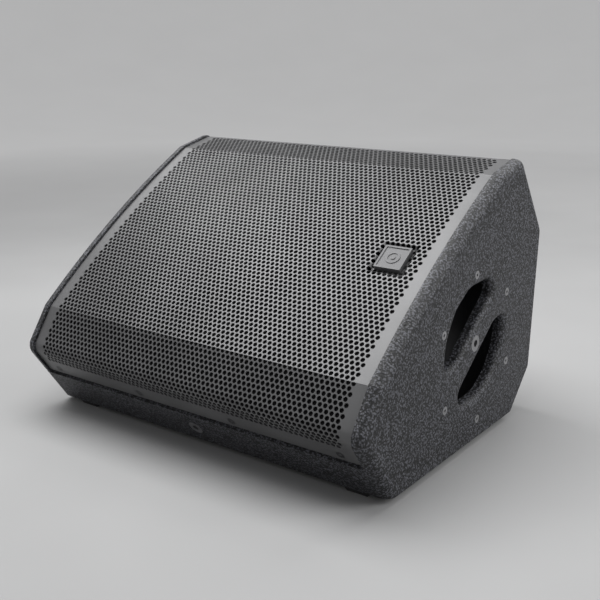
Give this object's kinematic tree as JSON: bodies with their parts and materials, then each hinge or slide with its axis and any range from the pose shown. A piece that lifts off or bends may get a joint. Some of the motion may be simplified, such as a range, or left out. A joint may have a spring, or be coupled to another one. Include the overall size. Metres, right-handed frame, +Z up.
{
  "type": "stage monitor wedge",
  "caption": "Wedge-shaped floor loudspeaker with a perforated steel front, plywood cabinet, cut-through hand grips, threaded rigging points and a coaxial driver.",
  "frame": {"origin": "centre of the footprint, at the underside of the feet", "axes": "+Z up, +Y from the sloping front to the back, +X to the right seen from the front"},
  "size_m": [0.54, 0.4243, 0.3435],
  "materials": {
    "coat": "textured polyurethane coat on birch plywood",
    "bare_ply": "unfinished birch plywood inside",
    "grille_paint": "satin powder coat",
    "foam": "open-cell acoustic foam",
    "damping": "polyester absorber",
    "screw_zinc": "zinc plated",
    "screw_black": "black oxide, satin",
    "insert_steel": "zinc plated, satin",
    "badge_metal": "satin anodised",
    "cup_plastic": "moulded, matt",
    "foot_rubber": "matt rubber",
    "cast_frame": "black coated casting",
    "cone_paper": "pressed paper, treated",
    "surround_cloth": "doped cloth",
    "spider_cloth": "resin-treated cloth",
    "former_film": "polyimide film",
    "copper": "enamelled copper wire",
    "motor_steel": "zinc plated steel",
    "ferrite": "sintered ferrite",
    "horn_plastic": "moulded ABS",
    "dome_metal": "thin titanium-coloured foil",
    "circuit_board": "epoxy glass laminate",
    "capacitor_film": "wrapped film",
    "resistor_ceramic": "cement case",
    "plate_paint": "fine texture powder coat",
    "socket_plastic": "glass-filled nylon",
    "switch_plastic": "moulded, matt"
  },
  "bodies": {
    "cabinet": {"side_panel_right": "coat", "side_panel_left": "coat", "bottom_panel": "coat", "rear_lower_panel": "coat", "back_panel": "coat", "rear_top_panel": "coat", "kick_panel": "coat", "baffle_board": "coat", "rear_brace": "bare_ply", "port_tube_right": "horn_plastic", "port_tube_left": "horn_plastic", "damping_foam": "damping", "grille": "grille_paint", "grille_foam": "foam", "grille_screws": "screw_black", "badge": "badge_metal", "badge_stud": "screw_zinc", "handle_cup_right": "cup_plastic", "handle_cup_left": "cup_plastic", "handle_screws_right": "screw_zinc", "handle_screws_left": "screw_zinc", "rigging_insert_right": "insert_steel", "rigging_insert_left": "insert_steel", "rigging_insert_front": "insert_steel", "rubber_feet": "foot_rubber", "foot_screws": "screw_zinc", "woofer_basket": "cast_frame", "woofer_gasket": "foot_rubber", "woofer_screws": "screw_black", "surround": "surround_cloth", "spider": "spider_cloth", "top_plate": "motor_steel", "woofer_magnet": "ferrite", "pole_piece": "motor_steel", "waveguide": "horn_plastic", "hf_phase_plug": "horn_plastic", "hf_magnet": "motor_steel", "hf_rear_cover": "cast_frame", "crossover_board": "circuit_board", "crossover_standoffs": "socket_plastic", "crossover_inductors": "copper", "crossover_capacitors": "capacitor_film", "crossover_resistors": "resistor_ceramic", "input_plate": "plate_paint", "input_screws": "screw_black", "socket_in": "socket_plastic", "socket_link": "socket_plastic", "mode_switch_body": "socket_plastic"},
    "cone_assembly": {"cone": "cone_paper", "coil_former": "former_film", "voice_coil": "copper"},
    "hf_dome": {"hf_diaphragm": "dome_metal"},
    "mode_slider": {"mode_switch_slider": "switch_plastic"}
  },
  "joints": [
    {"name": "cone_travel", "type": "slide", "parent": "cabinet", "child": "cone_assembly", "axis": [0, -0.5598, 0.8286], "range_m": [-0.005, 0.005], "stiffness_N_per_m": 4000, "deforming": ["surround", "spider"]},
    {"name": "dome_travel", "type": "slide", "parent": "cabinet", "child": "hf_dome", "axis": [0, -0.5598, 0.8286], "range_m": [-0.0003, 0.0003], "stiffness_N_per_m": 6000},
    {"name": "mode_slide", "type": "slide", "parent": "cabinet", "child": "mode_slider", "axis": [0, 0.0673, 0.9977], "range_m": [0, 0.006]}
  ]
}
